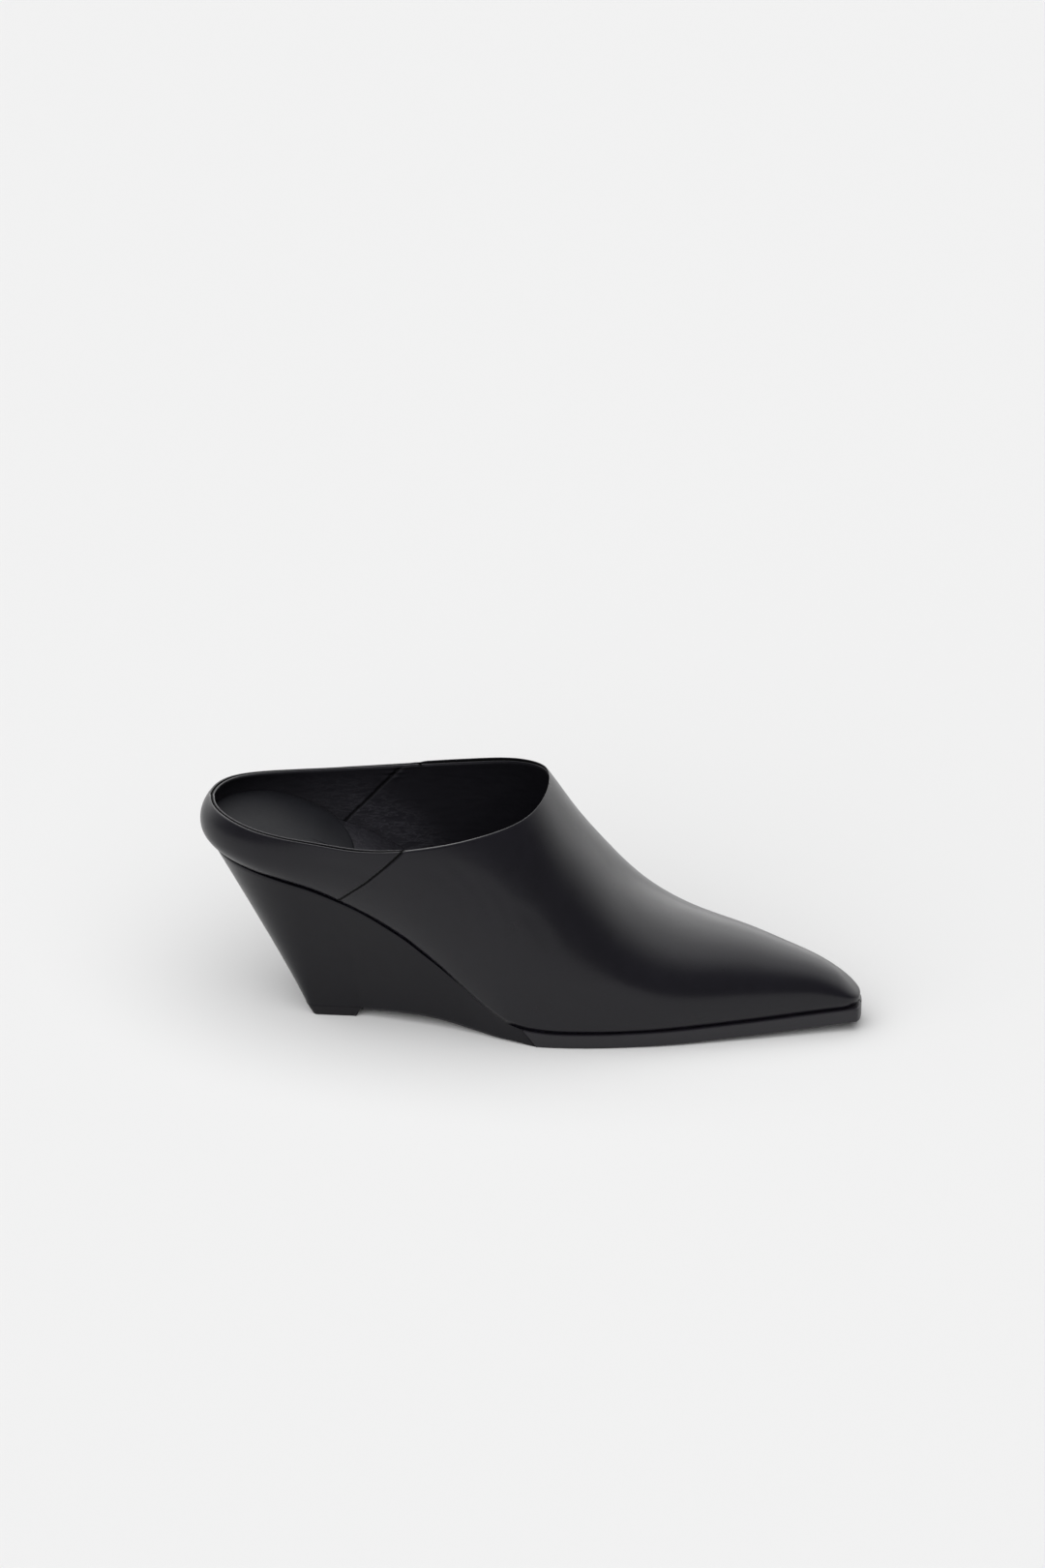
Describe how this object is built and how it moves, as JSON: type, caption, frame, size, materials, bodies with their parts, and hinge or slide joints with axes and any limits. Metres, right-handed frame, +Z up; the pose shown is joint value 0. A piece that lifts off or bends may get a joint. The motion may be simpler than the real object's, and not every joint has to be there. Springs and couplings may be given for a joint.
{
  "type": "wedge mule",
  "caption": "Left backless mule in smooth black leather with a long pointed vamp cut square at the tip, a low heel band and a leather-covered wedge that leans in to a small top piece.",
  "frame": {"origin": "the middle of the top piece's underside, on the floor", "axes": "+X from the heel to the toe, +Y to the outer side of the foot, +Z up; millimetres in the source, metres in the packed files"},
  "size_m": [0.2557, 0.0828, 0.0947],
  "materials": {
    "upper_leather": "smooth black calf leather with a soft satin shine",
    "wedge_leather": "the same smooth black leather stretched over the wedge",
    "sole_rubber": "black sole with a dull satin edge",
    "top_piece_rubber": "black hard rubber, matte",
    "lining_leather": "thin black lining leather, matte with fine wrinkles"
  },
  "bodies": {
    "root": {"upper": "upper_leather", "wedge": "wedge_leather", "outsole": "sole_rubber", "top_piece": "top_piece_rubber", "insole": "lining_leather", "heel_pad": "lining_leather"}
  },
  "joints": []
}
